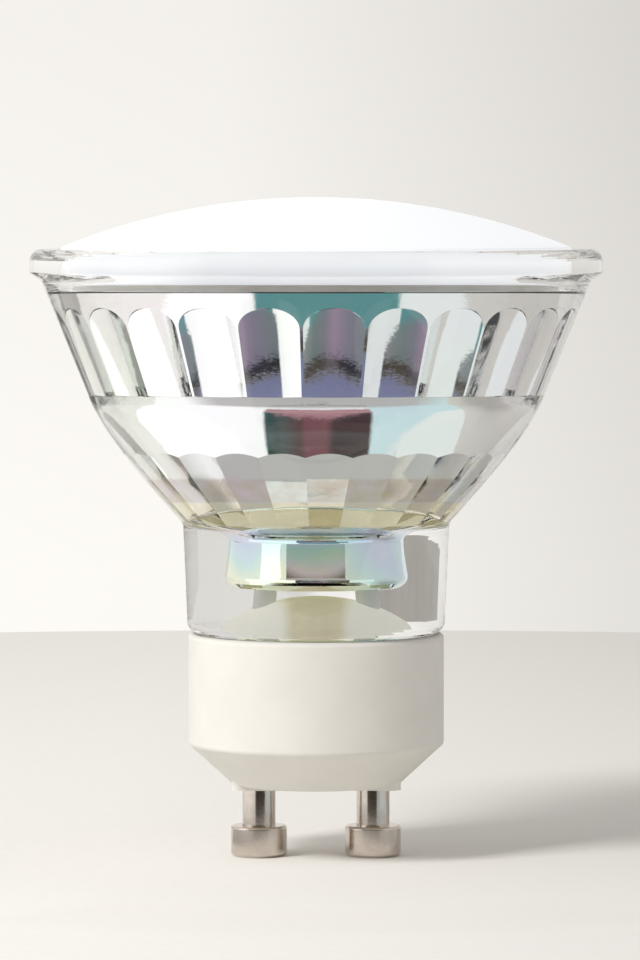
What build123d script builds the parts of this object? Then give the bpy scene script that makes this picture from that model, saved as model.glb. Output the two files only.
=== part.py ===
from build123d import *
from math import atan2, cos, hypot, radians, sin, sqrt
import os

# A spotlight lamp with light-emitting diodes, a fluted glass reflector and a two-pin base.
# It stands on the heads of its two contact pins. The origin is on that surface, midway
# between the pins. +Z runs up the lamp's axis to its dome, and +X from one pin to the other.
# Sizes are in millimetres, angles in degrees, and heights are measured from the surface.

# Contact pins: a wide head, a slim shank through the cap, and a socket for the lead inside
pin_pitch = 10.0
pin_head_diameter = 4.9
pin_head_height = 2.7
pin_head_chamfer = 0.25
pin_head_round = 0.25
pin_shank_diameter = 2.9
pin_reach = 6.05
pin_flange_diameter = 4.4
pin_flange_height = 0.6
pin_tail_diameter = 2.0
pin_tail_height = 2.4
pin_socket_depth = 1.8
pin_fit = 0.05

# Base cap: a moulded cup with a bevelled foot and a low bar that the pins come out of
cap_diameter = 22.4
cap_side_height = 9.65
cap_wall = 1.5
cap_floor = 2.6
bevel_height = 3.55
bevel_width = 3.85
bevel_round = 0.5
cap_lip_round = 0.45
bar_length = 14.8
bar_width = 6.6
bar_drop = 0.35
bar_corner_round = 0.8

# Glass reflector, outside: spigot, neck, bowl, cone and rim
cement_gap = 0.5
spigot_depth = 4.1
shoulder_width = 2.05
shoulder_round = 1.1
neck_height = 9.7
neck_spread = 0.42
neck_round = 1.0
bowl_height = 10.7
bowl_diameter = 39.5
bowl_foot_angle = 42.5
bowl_foot_pull = 7.5
bowl_top_pull = 2.25
cone_height = 10.35
rim_diameter = 50.0
rim_overhang = 1.06
rim_flare_height = 0.77
rim_side_height = 2.08
rim_top_round = 1.1
rim_foot_round = 0.3
rim_under_round = 1.0

# Glass reflector, inside: pocket, flutes, ledge, plain band, facets, funnel, bore and recess
rim_wall = 2.6
pocket_depth = 3.2
pocket_round = 0.2
cone_wall = 2.0
flute_count = 24
flute_turn = 4.2
flute_rib_radius = 13.5
flute_land = 0.25
flute_foot_rise = 1.2
arch_drop = 3.05
arch_rise = 1.8
ledge_height = 0.8
ledge_width = 0.55
ledge_step = 0.53
band_height = 3.8
band_inset = 2.05
facet_heights = (2.2, 1.9, 1.75)
facet_insets = (1.9, 1.8, 1.55)
funnel_step = 0.1
funnel_depth = 2.3
funnel_round = 1.0
bore_diameter = 10.2
bore_flare = 0.45
bore_floor_height = 8.3
bore_floor_round = 1.0
recess_diameter = 11.4
recess_side_height = 4.7
recess_dome_height = 3.05

# Cement round the spigot
cement_ring_gap = 0.2

# Diffuser dome
dome_sphere_radius = 59.0
dome_wall = 1.5
dome_fit = 0.15
dome_edge_lift = 0.14
dome_edge_round = 0.3

# Board for the diodes, and the diodes on it
led_board_thickness = 1.0
led_board_fit = 0.2
led_count = 8
led_ring_diameter = 27.0
led_length = 3.5
led_width = 2.8
led_height = 0.7
led_window_diameter = 2.2
led_window_depth = 0.1
led_notch = 0.5

# Driver board: it stands on edge, and its two tabs reach up through the board for the diodes
driver_thickness = 1.0
driver_foot_gap = 1.0
driver_top_gap = 0.3
driver_side_gap = 2.2
tab_pitch = 14.0
tab_width = 3.0
tab_stand = 0.4
tab_fit = 0.1
driver_hole_fit = 0.05

# Parts on the driver board, with their places given from its foot and its middle
wire_diameter = 0.6
wire_stub = 1.0
capacitor_diameter = 8.0
capacitor_height = 12.0
capacitor_side = 5.5
capacitor_rise = 5.5
capacitor_gap = 0.1
capacitor_groove = 0.4
capacitor_groove_rise = 1.6
capacitor_round = 0.5
capacitor_wire_pitch = 3.5
choke_diameter = 9.0
choke_length = 8.0
choke_hub_diameter = 4.4
choke_flange = 1.2
choke_winding_drop = 0.5
choke_side = 6.0
choke_rise = 13.0
choke_pin_pitch = 5.0
film_length = 6.0
film_height = 4.8
film_depth = 3.5
film_round = 0.5
film_side = 5.8
film_rise = 5.65
film_pin_pitch = 5.0
chip_length = 4.9
chip_width = 3.9
chip_height = 1.5
chip_side = 6.0
chip_rise = 9.3
chip_legs = 4
chip_leg_pitch = 1.27
bridge_length = 4.7
bridge_width = 3.9
bridge_height = 2.4
bridge_side = 6.0
bridge_rise = 11.0
bridge_legs = 2
bridge_leg_pitch = 2.54
package_stand = 0.15
leg_width = 0.45
leg_thickness = 0.2
leg_reach = 1.05
leg_foot = 0.6
resistor_diameter = 2.8
resistor_length = 7.0
resistor_waist = 0.15
resistor_collar = 1.2
resistor_rise = 11.75
resistor_gap = 0.1
resistor_wire_run = 1.2

# Mains leads: sleeved wires from the pins, through the cement and the bore, to the board
lead_diameter = 1.4
lead_core_diameter = 0.7
lead_fit = 0.05
lead_bare_foot = 0.15
lead_bare_top = 1.2
lead_pin_run = 1.0
lead_bore_side = 3.5
lead_bore_rise = 0.8
lead_board_side = 2.6
lead_board_rise = 2.6
lead_bends = (1.6, 3.0, 3.0, 0.7)

# How far a cutting shape runs past what it cuts
cut_margin = 1.0

# Heights from the surface up to the rim
bar_bottom = pin_reach
cap_bottom = bar_bottom + bar_drop
bevel_top = cap_bottom + bevel_height
cap_top = bevel_top + cap_side_height
floor_top = cap_bottom + cap_floor
spigot_bottom = cap_top - spigot_depth
neck_top = cap_top + neck_height
bowl_top = neck_top + bowl_height
cone_top = bowl_top + cone_height
rim_foot = cone_top + rim_flare_height
rim_top = rim_foot + rim_side_height
pocket_floor = rim_top - pocket_depth
led_board_top = pocket_floor + led_board_thickness

# Radii of the cap and of the outside of the glass
cap_radius = cap_diameter / 2
cavity_radius = cap_radius - cap_wall
spigot_radius = cavity_radius - cement_gap
shoulder_radius = spigot_radius + shoulder_width
neck_radius = shoulder_radius + neck_spread
bowl_radius = bowl_diameter / 2
rim_radius = rim_diameter / 2
cone_top_radius = rim_radius - rim_overhang
cone_slope = (cone_top_radius - bowl_radius) / cone_height
cone_stretch = hypot(1, cone_slope)
pocket_radius = rim_radius - rim_wall


def inner_cone_radius(height):
    """Radius of the inner face of the cone, before the flutes are cut, at a height."""
    outer_radius = bowl_radius + cone_slope * (height - bowl_top)
    return outer_radius - cone_wall * cone_stretch


# Heights and radii of the inside of the glass
flute_foot = bowl_top + flute_foot_rise
arch_spring = pocket_floor - arch_drop
ledge_foot = flute_foot - ledge_height
ledge_radius = inner_cone_radius(flute_foot) - ledge_step - ledge_width
facet_levels = [ledge_foot - band_height]
facet_radii = [ledge_radius - band_inset]
for row_height, row_inset in zip(facet_heights, facet_insets):
    facet_levels.append(facet_levels[-1] - row_height)
    facet_radii.append(facet_radii[-1] - row_inset)
facet_turn = flute_turn + 180 / flute_count
funnel_foot = facet_levels[-1] - funnel_depth
bore_radius = bore_diameter / 2
bore_floor = spigot_bottom + bore_floor_height
bore_floor_radius = bore_radius + bore_flare
recess_radius = recess_diameter / 2
recess_edge = spigot_bottom + recess_side_height
recess_top = recess_edge + recess_dome_height

# Heights and faces of the driver board: the front face looks along -Y, the back face along +Y
driver_foot = facet_levels[-1] + driver_foot_gap
driver_top = pocket_floor - driver_top_gap
lead_hole_height = driver_foot + lead_board_rise
front_face = -driver_thickness / 2
back_face = driver_thickness / 2


def ring_edges(solid, *rings):
    """The circular edges of a solid at the given pairs of radius and height."""
    circles = solid.edges().filter_by(GeomType.CIRCLE)
    found = []
    for radius, height in rings:
        misses = [hypot(edge.radius - radius, edge.arc_center.Z - height) for edge in circles]
        found.append(circles[misses.index(min(misses))])
    return found


def save(piece, name):
    """Label a finished piece and write its file."""
    piece.part.label = name
    export_step(piece.part, f"parts/{name}.step")


def sweep_round(radius, points, bends):
    """Add a round wire of the given radius along straight runs joined by arcs."""
    with BuildLine() as route:
        FilletPolyline(*points, radius=bends)
    with BuildSketch(Plane(origin=route.line @ 0, z_dir=route.line % 0)) as section:
        Circle(radius)
    sweep(section.sketch, path=route.line)


os.makedirs("parts", exist_ok=True)


# Base cap
floor_radius = cap_radius - bevel_width
bevel_length = hypot(bevel_width, bevel_height)
bevel_slope = bevel_width / bevel_height
inner_bevel_shift = cap_wall * bevel_length / bevel_height
inner_floor_radius = floor_radius + bevel_slope * cap_floor - inner_bevel_shift
inner_bevel_top = floor_top + (cavity_radius - inner_floor_radius) / bevel_slope
pin_hole_radius = pin_shank_diameter / 2 + pin_fit

with BuildPart() as base_cap:
    with BuildSketch(Plane.XZ):
        Polygon(
            (0, cap_bottom),
            (floor_radius, cap_bottom),
            (cap_radius, bevel_top),
            (cap_radius, cap_top),
            (0, cap_top),
            align=None,
        )
    revolve(axis=Axis.Z)
    bevel_rings = ((floor_radius, cap_bottom), (cap_radius, bevel_top))
    fillet(ring_edges(base_cap, *bevel_rings), radius=bevel_round)
    fillet(ring_edges(base_cap, (cap_radius, cap_top)), radius=cap_lip_round)
    with BuildSketch(Plane.XY.offset(bar_bottom)):
        RectangleRounded(bar_length, bar_width, bar_corner_round)
    extrude(amount=floor_top - bar_bottom)
    with BuildSketch(Plane.XZ):
        Polygon(
            (0, floor_top),
            (inner_floor_radius, floor_top),
            (cavity_radius, inner_bevel_top),
            (cavity_radius, cap_top + cut_margin),
            (0, cap_top + cut_margin),
            align=None,
        )
    revolve(axis=Axis.Z, mode=Mode.SUBTRACT)
    with BuildSketch(Plane.XY.offset(bar_bottom)):
        with GridLocations(pin_pitch, 0, 2, 1):
            Circle(pin_hole_radius)
    extrude(amount=floor_top - bar_bottom, mode=Mode.SUBTRACT)
save(base_cap, "base_cap")


# Contact pins
pin_head_radius = pin_head_diameter / 2
pin_shank_radius = pin_shank_diameter / 2
flange_top = floor_top + pin_flange_height
tail_top = flange_top + pin_tail_height
socket_radius = lead_core_diameter / 2 + lead_fit


def build_pin(side):
    """A contact pin, turned in one piece, on the left (-1) or the right (1)."""
    centre = side * pin_pitch / 2
    with BuildPart() as pin:
        with BuildSketch(Plane(origin=(centre, 0, 0), x_dir=(1, 0, 0), z_dir=(0, -1, 0))):
            Polygon(
                (0, 0),
                (pin_head_radius - pin_head_chamfer, 0),
                (pin_head_radius, pin_head_chamfer),
                (pin_head_radius, pin_head_height),
                (pin_shank_radius, pin_head_height),
                (pin_shank_radius, floor_top),
                (pin_flange_diameter / 2, floor_top),
                (pin_flange_diameter / 2, flange_top),
                (pin_tail_diameter / 2, flange_top),
                (pin_tail_diameter / 2, tail_top),
                (socket_radius, tail_top),
                (socket_radius, tail_top - pin_socket_depth),
                (0, tail_top - pin_socket_depth),
                align=None,
            )
        revolve(axis=Axis((centre, 0, 0), (0, 0, 1)))
        fillet(ring_edges(pin, (pin_head_radius, pin_head_height)), radius=pin_head_round)
    return pin


save(build_pin(-1), "contact_pin_left")
save(build_pin(1), "contact_pin_right")


# Mains leads
lead_radius = lead_diameter / 2
lead_board_y = front_face - lead_fit - lead_radius


def lead_route(side, foot, points_past_board):
    """Points of a lead from a height over its pin to the board, and then the ones given."""
    pin_x = side * pin_pitch / 2
    board_x = side * lead_board_side
    route = [
        (pin_x, 0, foot),
        (pin_x, 0, tail_top + lead_pin_run),
        (side * lead_bore_side, 0, spigot_bottom + lead_bore_rise),
        (board_x, lead_board_y, driver_foot - lead_bore_rise),
    ]
    return route + [(board_x, y, height) for y, height in points_past_board]


def sleeve_route(side):
    """Points of the sleeved part of a lead."""
    return lead_route(
        side, tail_top + lead_bare_foot, [(lead_board_y, lead_hole_height - lead_bare_top)]
    )


def build_lead(side):
    """A sleeved lead on the left (-1) or the right (1), bare at both ends."""
    core_end = [(lead_board_y, lead_hole_height), (back_face + wire_stub, lead_hole_height)]
    core_foot = tail_top - pin_socket_depth
    with BuildPart() as lead:
        sweep_round(lead_core_diameter / 2, lead_route(side, core_foot, core_end), lead_bends)
        sweep_round(lead_radius, sleeve_route(side), lead_bends[:-1])
    return lead


save(build_lead(-1), "mains_lead_left")
save(build_lead(1), "mains_lead_right")


# Cement between the spigot and the cap, and in the domed recess under the glass. The leads
# run through the cement and through two holes in the floor of the bore.
with BuildPart() as cement_ring:
    with BuildSketch(Plane.XY.offset(spigot_bottom)):
        Circle(cavity_radius)
        Circle(spigot_radius, mode=Mode.SUBTRACT)
    extrude(amount=spigot_depth - cement_ring_gap)
save(cement_ring, "cement_ring")

recess_sphere_radius = (recess_radius**2 + recess_dome_height**2) / (2 * recess_dome_height)
recess_middle_radius = recess_radius / 2
recess_middle_drop = recess_sphere_radius - sqrt(recess_sphere_radius**2 - recess_middle_radius**2)
with BuildPart() as recess_core:
    with BuildSketch(Plane.XZ):
        with BuildLine():
            Polyline(
                (0, recess_top),
                (0, spigot_bottom),
                (recess_radius, spigot_bottom),
                (recess_radius, recess_edge),
            )
            ThreePointArc(
                (recess_radius, recess_edge),
                (recess_middle_radius, recess_top - recess_middle_drop),
                (0, recess_top),
            )
        make_face()
    revolve(axis=Axis.Z)

with BuildPart() as lead_holes:
    for side in (-1, 1):
        sweep_round(lead_radius + lead_fit, sleeve_route(side), lead_bends[:-1])

with BuildPart() as cement_plug:
    add(recess_core.part)
    add(lead_holes.part, mode=Mode.SUBTRACT)
save(cement_plug, "cement_plug")


# Glass reflector
# Its inner face has the shape of the plunger that presses it. Each flute is a rib on the
# glass, left by a groove in the plunger. A long leaning cylinder, cropped to an arch at the
# top, cuts the groove, so each flute has a crisp end and a narrow land on both sides.
half_flute = radians(180 / flute_count)


def flute_half_width(cone_radius):
    """Half the width of a rib on the inner cone, at a radius of the cone."""
    return cone_radius * sin(half_flute) - flute_land / 2


def crest_radius(cone_radius):
    """Radius of a rib's crest where its sides meet the inner cone at a radius of the cone."""
    half_width = flute_half_width(cone_radius)
    rib_rise = flute_rib_radius - sqrt(flute_rib_radius**2 - half_width**2)
    return sqrt(cone_radius**2 - half_width**2) - rib_rise * cone_stretch


crest_foot_radius = crest_radius(inner_cone_radius(flute_foot))
crest_top_radius = crest_radius(inner_cone_radius(arch_spring))
crest_lean = atan2(crest_top_radius - crest_foot_radius, arch_spring - flute_foot)
crest_length = hypot(crest_top_radius - crest_foot_radius, arch_spring - flute_foot)
cutter_plane = Plane(
    origin=(
        crest_foot_radius + flute_rib_radius * cos(crest_lean),
        0,
        flute_foot - flute_rib_radius * sin(crest_lean),
    ),
    x_dir=(0, 1, 0),
    z_dir=(sin(crest_lean), 0, cos(crest_lean)),
)

arch_half_width = flute_half_width(inner_cone_radius(arch_spring))
with BuildPart() as flute_cutter:
    with BuildSketch(cutter_plane.offset(-cut_margin)):
        Circle(flute_rib_radius)
    extrude(amount=crest_length + arch_rise + 2 * cut_margin)
    with BuildSketch(Plane(origin=(0, 0, arch_spring), x_dir=(0, 1, 0), z_dir=(1, 0, 0))):
        Ellipse(arch_half_width, arch_rise)
        with Locations((0, (flute_foot - arch_spring) / 2)):
            Rectangle(2 * arch_half_width, arch_spring - flute_foot + 2 * cut_margin)
    extrude(amount=rim_radius, mode=Mode.INTERSECT)

with BuildPart() as plunger_head:
    with BuildSketch(Plane.XZ):
        Polygon(
            (0, ledge_foot),
            (ledge_radius, ledge_foot),
            (ledge_radius + ledge_width, flute_foot),
            (inner_cone_radius(flute_foot), flute_foot),
            (inner_cone_radius(pocket_floor), pocket_floor),
            (0, pocket_floor),
            align=None,
        )
    revolve(axis=Axis.Z)
    with PolarLocations(0, flute_count, start_angle=flute_turn - 90):
        add(flute_cutter.part, mode=Mode.SUBTRACT)
    with BuildSketch(Plane.XY.offset(pocket_floor)):
        Circle(pocket_radius)
    extrude(amount=pocket_depth + cut_margin)

# The facets are the sides of a polygon that narrows in rows. The top row runs on up through
# the plain band, which is round, so each facet ends there in a shallow scallop.
top_row_slope = facet_insets[0] / facet_heights[0]
with BuildPart() as facet_core:
    levels = [ledge_foot] + facet_levels
    apothems = [facet_radii[0] + top_row_slope * band_height] + facet_radii
    for level, apothem in zip(levels, apothems):
        with BuildSketch(Plane.XY.offset(level)):
            RegularPolygon(apothem, flute_count, major_radius=False, rotation=facet_turn - 90)
    loft(ruled=True)

band_slope = band_inset / band_height
with BuildPart() as plunger_bowl:
    with BuildSketch(Plane.XZ):
        Polygon(
            (0, facet_levels[-1]),
            (ledge_radius - band_slope * (ledge_foot - facet_levels[-1]), facet_levels[-1]),
            (ledge_radius, ledge_foot),
            (0, ledge_foot),
            align=None,
        )
    revolve(axis=Axis.Z)
    add(facet_core.part, mode=Mode.INTERSECT)

with BuildPart() as plunger_stem:
    with BuildSketch(Plane.XZ):
        with BuildLine():
            Polyline(
                (bore_floor_radius, bore_floor),
                (0, bore_floor),
                (0, facet_levels[-1]),
                (facet_radii[-1] - funnel_step, facet_levels[-1]),
                (bore_radius, funnel_foot),
            )
            TangentArc(
                (bore_radius, funnel_foot),
                (bore_floor_radius, bore_floor),
                tangent=(0, -1),
            )
        make_face()
    revolve(axis=Axis.Z)
    fillet(ring_edges(plunger_stem, (bore_radius, funnel_foot)), radius=funnel_round)
    fillet(ring_edges(plunger_stem, (bore_floor_radius, bore_floor)), radius=bore_floor_round)

foot_direction = radians(90 - bowl_foot_angle)
with BuildPart() as glass_reflector:
    with BuildSketch(Plane.XZ):
        with BuildLine():
            Polyline(
                (bowl_radius, bowl_top),
                (cone_top_radius, cone_top),
                (rim_radius, rim_foot),
                (rim_radius, rim_top),
                (0, rim_top),
                (0, spigot_bottom),
                (spigot_radius, spigot_bottom),
                (spigot_radius, cap_top),
                (shoulder_radius, cap_top),
                (neck_radius, neck_top),
            )
            Bezier(
                (neck_radius, neck_top),
                (
                    neck_radius + bowl_foot_pull * cos(foot_direction),
                    neck_top + bowl_foot_pull * sin(foot_direction),
                ),
                (
                    bowl_radius - bowl_top_pull * cone_slope / cone_stretch,
                    bowl_top - bowl_top_pull / cone_stretch,
                ),
                (bowl_radius, bowl_top),
            )
        make_face()
    revolve(axis=Axis.Z)
    fillet(ring_edges(glass_reflector, (rim_radius, rim_top)), radius=rim_top_round)
    fillet(ring_edges(glass_reflector, (rim_radius, rim_foot)), radius=rim_foot_round)
    fillet(ring_edges(glass_reflector, (cone_top_radius, cone_top)), radius=rim_under_round)
    fillet(ring_edges(glass_reflector, (shoulder_radius, cap_top)), radius=shoulder_round)
    fillet(ring_edges(glass_reflector, (neck_radius, neck_top)), radius=neck_round)
    add(recess_core.part, mode=Mode.SUBTRACT)
    add(lead_holes.part, mode=Mode.SUBTRACT)
    add(plunger_stem.part, mode=Mode.SUBTRACT)
    add(plunger_bowl.part, mode=Mode.SUBTRACT)
    add(plunger_head.part, mode=Mode.SUBTRACT)
    fillet(ring_edges(glass_reflector, (pocket_radius, rim_top)), radius=pocket_round)
save(glass_reflector, "glass_reflector")


# Board for the diodes, seated on the floor of the pocket
led_board_radius = pocket_radius - led_board_fit
with BuildPart() as led_board:
    with BuildSketch(Plane.XY.offset(pocket_floor)):
        Circle(led_board_radius)
        with GridLocations(tab_pitch, 0, 2, 1):
            Rectangle(tab_width + 2 * tab_fit, driver_thickness + 2 * tab_fit, mode=Mode.SUBTRACT)
    extrude(amount=led_board_thickness)
save(led_board, "led_board")

for number in range(led_count):
    led_angle = radians(360 * (number + 0.5) / led_count)
    outward = (cos(led_angle), sin(led_angle), 0)
    led_plane = Plane(
        origin=(
            led_ring_diameter / 2 * outward[0],
            led_ring_diameter / 2 * outward[1],
            led_board_top,
        ),
        x_dir=outward,
        z_dir=(0, 0, 1),
    )
    with BuildPart() as led:
        with BuildSketch(led_plane) as led_outline:
            Rectangle(led_length, led_width)
            chamfer(led_outline.vertices().sort_by(Axis.X)[-1], length=led_notch)
        extrude(amount=led_height)
        with BuildSketch(led_plane.offset(led_height)):
            Circle(led_window_diameter / 2)
        extrude(amount=-led_window_depth, mode=Mode.SUBTRACT)
    save(led, f"led_{number + 1}")


# Diffuser dome, with a skirt that stands on the board
dome_radius = pocket_radius - dome_fit
dome_edge = rim_top + dome_edge_lift
dome_centre = dome_edge - sqrt(dome_sphere_radius**2 - dome_radius**2)
skirt_inner_radius = dome_radius - dome_wall


def dome_height(sphere_radius, radius):
    """Height of a dome face of the given sphere at a distance from the axis."""
    return dome_centre + sqrt(sphere_radius**2 - radius**2)


inner_sphere_radius = dome_sphere_radius - dome_wall
with BuildPart() as diffuser_dome:
    with BuildSketch(Plane.XZ):
        with BuildLine():
            ThreePointArc(
                (0, dome_height(dome_sphere_radius, 0)),
                (dome_radius / 2, dome_height(dome_sphere_radius, dome_radius / 2)),
                (dome_radius, dome_edge),
            )
            Polyline(
                (dome_radius, dome_edge),
                (dome_radius, led_board_top),
                (skirt_inner_radius, led_board_top),
                (skirt_inner_radius, dome_height(inner_sphere_radius, skirt_inner_radius)),
            )
            ThreePointArc(
                (skirt_inner_radius, dome_height(inner_sphere_radius, skirt_inner_radius)),
                (dome_radius / 2, dome_height(inner_sphere_radius, dome_radius / 2)),
                (0, dome_height(inner_sphere_radius, 0)),
            )
            Line((0, dome_height(inner_sphere_radius, 0)), (0, dome_height(dome_sphere_radius, 0)))
        make_face()
    revolve(axis=Axis.Z)
    fillet(ring_edges(diffuser_dome, (dome_radius, dome_edge)), radius=dome_edge_round)
save(diffuser_dome, "diffuser_dome")


# Driver board
driver_foot_half = facet_radii[-1] - driver_side_gap
driver_shoulder_half = facet_radii[0] - driver_side_gap
tab_top = led_board_top + tab_stand
wire_hole_radius = wire_diameter / 2 + driver_hole_fit
capacitor_foot = driver_foot + capacitor_rise
capacitor_wire_height = capacitor_foot - wire_stub
choke_height = driver_foot + choke_rise
film_centre_height = driver_foot + film_rise
resistor_height = driver_foot + resistor_rise
resistor_wire_offset = resistor_length / 2 + resistor_wire_run

with BuildPart() as driver_board:
    with BuildSketch(Plane.XZ) as driver_outline:
        with BuildLine():
            Polyline(
                (0, driver_foot),
                (driver_foot_half, driver_foot),
                (driver_shoulder_half, facet_levels[0]),
                (driver_shoulder_half, driver_top),
                (tab_pitch / 2 + tab_width / 2, driver_top),
                (tab_pitch / 2 + tab_width / 2, tab_top),
                (tab_pitch / 2 - tab_width / 2, tab_top),
                (tab_pitch / 2 - tab_width / 2, driver_top),
                (0, driver_top),
            )
            mirror(about=Plane.YZ)
        make_face()
        with Locations((-lead_board_side, lead_hole_height), (lead_board_side, lead_hole_height)):
            Circle(socket_radius, mode=Mode.SUBTRACT)
        with Locations((-capacitor_side, capacitor_wire_height)):
            with GridLocations(capacitor_wire_pitch, 0, 2, 1):
                Circle(wire_hole_radius, mode=Mode.SUBTRACT)
        with Locations((choke_side, choke_height)):
            with GridLocations(choke_pin_pitch, 0, 2, 1):
                Circle(wire_hole_radius, mode=Mode.SUBTRACT)
        with Locations((film_side, film_centre_height)):
            with GridLocations(film_pin_pitch, 0, 2, 1):
                Circle(wire_hole_radius, mode=Mode.SUBTRACT)
        with Locations((0, resistor_height)):
            with GridLocations(0, 2 * resistor_wire_offset, 1, 2):
                Circle(wire_hole_radius, mode=Mode.SUBTRACT)
    extrude(amount=driver_thickness / 2, both=True)
save(driver_board, "driver_board")


# Parts on the driver board
wire_radius = wire_diameter / 2

# The capacitor lies along the front of the board, with its wires bent into it
capacitor_radius = capacitor_diameter / 2
capacitor_y = front_face - capacitor_gap - capacitor_radius
capacitor_plane = Plane(
    origin=(-capacitor_side, capacitor_y, 0), x_dir=(1, 0, 0), z_dir=(0, -1, 0)
)
with BuildPart() as electrolytic_capacitor:
    with BuildSketch(capacitor_plane):
        Polygon(
            (0, capacitor_foot),
            (capacitor_radius, capacitor_foot),
            (capacitor_radius, capacitor_foot + capacitor_groove_rise - capacitor_groove),
            (capacitor_radius - capacitor_groove, capacitor_foot + capacitor_groove_rise),
            (capacitor_radius, capacitor_foot + capacitor_groove_rise + capacitor_groove),
            (capacitor_radius, capacitor_foot + capacitor_height),
            (0, capacitor_foot + capacitor_height),
            align=None,
        )
    revolve(axis=Axis((-capacitor_side, capacitor_y, 0), (0, 0, 1)))
    capacitor_rings = (
        (capacitor_radius, capacitor_foot),
        (capacitor_radius, capacitor_foot + capacitor_height),
    )
    fillet(ring_edges(electrolytic_capacitor, *capacitor_rings), radius=capacitor_round)
    for wire_side in (-1, 1):
        wire_x = -capacitor_side + wire_side * capacitor_wire_pitch / 2
        sweep_round(
            wire_radius,
            (
                (wire_x, capacitor_y, capacitor_foot + wire_stub),
                (wire_x, capacitor_y, capacitor_wire_height),
                (wire_x, back_face + wire_stub, capacitor_wire_height),
            ),
            wire_diameter,
        )
save(electrolytic_capacitor, "electrolytic_capacitor")

# The choke is a ferrite drum, on its end against the board, with the winding in its waist
choke_radius = choke_diameter / 2
choke_hub_radius = choke_hub_diameter / 2
choke_far = front_face - choke_length
choke_axis = Axis((choke_side, 0, choke_height), (0, 1, 0))
choke_plane = Plane(origin=(choke_side, 0, choke_height), x_dir=(1, 0, 0), z_dir=(0, 0, 1))
choke_foot = Plane(
    origin=(choke_side, front_face, choke_height), x_dir=(1, 0, 0), z_dir=(0, 1, 0)
)
with BuildPart() as choke_core:
    with BuildSketch(choke_plane):
        Polygon(
            (0, front_face),
            (choke_radius, front_face),
            (choke_radius, front_face - choke_flange),
            (choke_hub_radius, front_face - choke_flange),
            (choke_hub_radius, choke_far + choke_flange),
            (choke_radius, choke_far + choke_flange),
            (choke_radius, choke_far),
            (0, choke_far),
            align=None,
        )
    revolve(axis=choke_axis)
    with BuildSketch(choke_foot):
        with GridLocations(choke_pin_pitch, 0, 2, 1):
            Circle(wire_radius)
    extrude(amount=driver_thickness + wire_stub)
save(choke_core, "choke_core")

with BuildPart() as choke_winding:
    with BuildSketch(choke_plane):
        Polygon(
            (choke_hub_radius, front_face - choke_flange),
            (choke_radius - choke_winding_drop, front_face - choke_flange),
            (choke_radius - choke_winding_drop, choke_far + choke_flange),
            (choke_hub_radius, choke_far + choke_flange),
            align=None,
        )
    revolve(axis=choke_axis)
save(choke_winding, "choke_winding")

# The film capacitor stands on the front of the board
film_plane = Plane(
    origin=(film_side, front_face, film_centre_height), x_dir=(1, 0, 0), z_dir=(0, -1, 0)
)
with BuildPart() as film_capacitor:
    with BuildSketch(film_plane):
        Rectangle(film_length, film_height)
    extrude(amount=film_depth)
    fillet(film_capacitor.edges().filter_by(Axis.Y), radius=film_round)
    fillet(film_capacitor.faces().sort_by(Axis.Y)[0].edges(), radius=film_round)
    with BuildSketch(film_plane):
        with GridLocations(film_pin_pitch, 0, 2, 1):
            Circle(wire_radius)
    extrude(amount=-(driver_thickness + wire_stub))
save(film_capacitor, "film_capacitor")


def build_package(face, length, width, height, legs, leg_pitch):
    """A flat moulded package with bent legs along two sides, standing on a board's face."""
    with BuildPart() as package:
        with BuildSketch(face.offset(package_stand)):
            Rectangle(length, width)
        extrude(amount=height - package_stand)
        leg_level = (height + package_stand) / 2
        for leg in range(legs):
            leg_x = (leg - (legs - 1) / 2) * leg_pitch
            leg_plane = Plane(
                origin=face.from_local_coords((leg_x, 0, 0)),
                x_dir=face.y_dir,
                z_dir=face.x_dir,
            )
            for way in (-1, 1):
                root = width / 2 - leg_thickness
                knee = width / 2 + leg_reach - leg_foot
                toe = width / 2 + leg_reach
                with BuildSketch(leg_plane):
                    Polygon(
                        (way * root, leg_level),
                        (way * (knee + leg_thickness), leg_level),
                        (way * (knee + leg_thickness), leg_thickness),
                        (way * toe, leg_thickness),
                        (way * toe, 0),
                        (way * knee, 0),
                        (way * knee, leg_level - leg_thickness),
                        (way * root, leg_level - leg_thickness),
                        align=None,
                    )
                extrude(amount=leg_width / 2, both=True)
    return package


def back_plane(side, rise):
    """The back face of the driver board, with its middle at a side and above the foot."""
    return Plane(origin=(side, back_face, driver_foot + rise), x_dir=(1, 0, 0), z_dir=(0, 1, 0))


driver_chip = build_package(
    back_plane(chip_side, chip_rise), chip_length, chip_width, chip_height, chip_legs, chip_leg_pitch
)
save(driver_chip, "driver_chip")
bridge_rectifier = build_package(
    back_plane(-bridge_side, bridge_rise),
    bridge_length,
    bridge_width,
    bridge_height,
    bridge_legs,
    bridge_leg_pitch,
)
save(bridge_rectifier, "bridge_rectifier")

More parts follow.
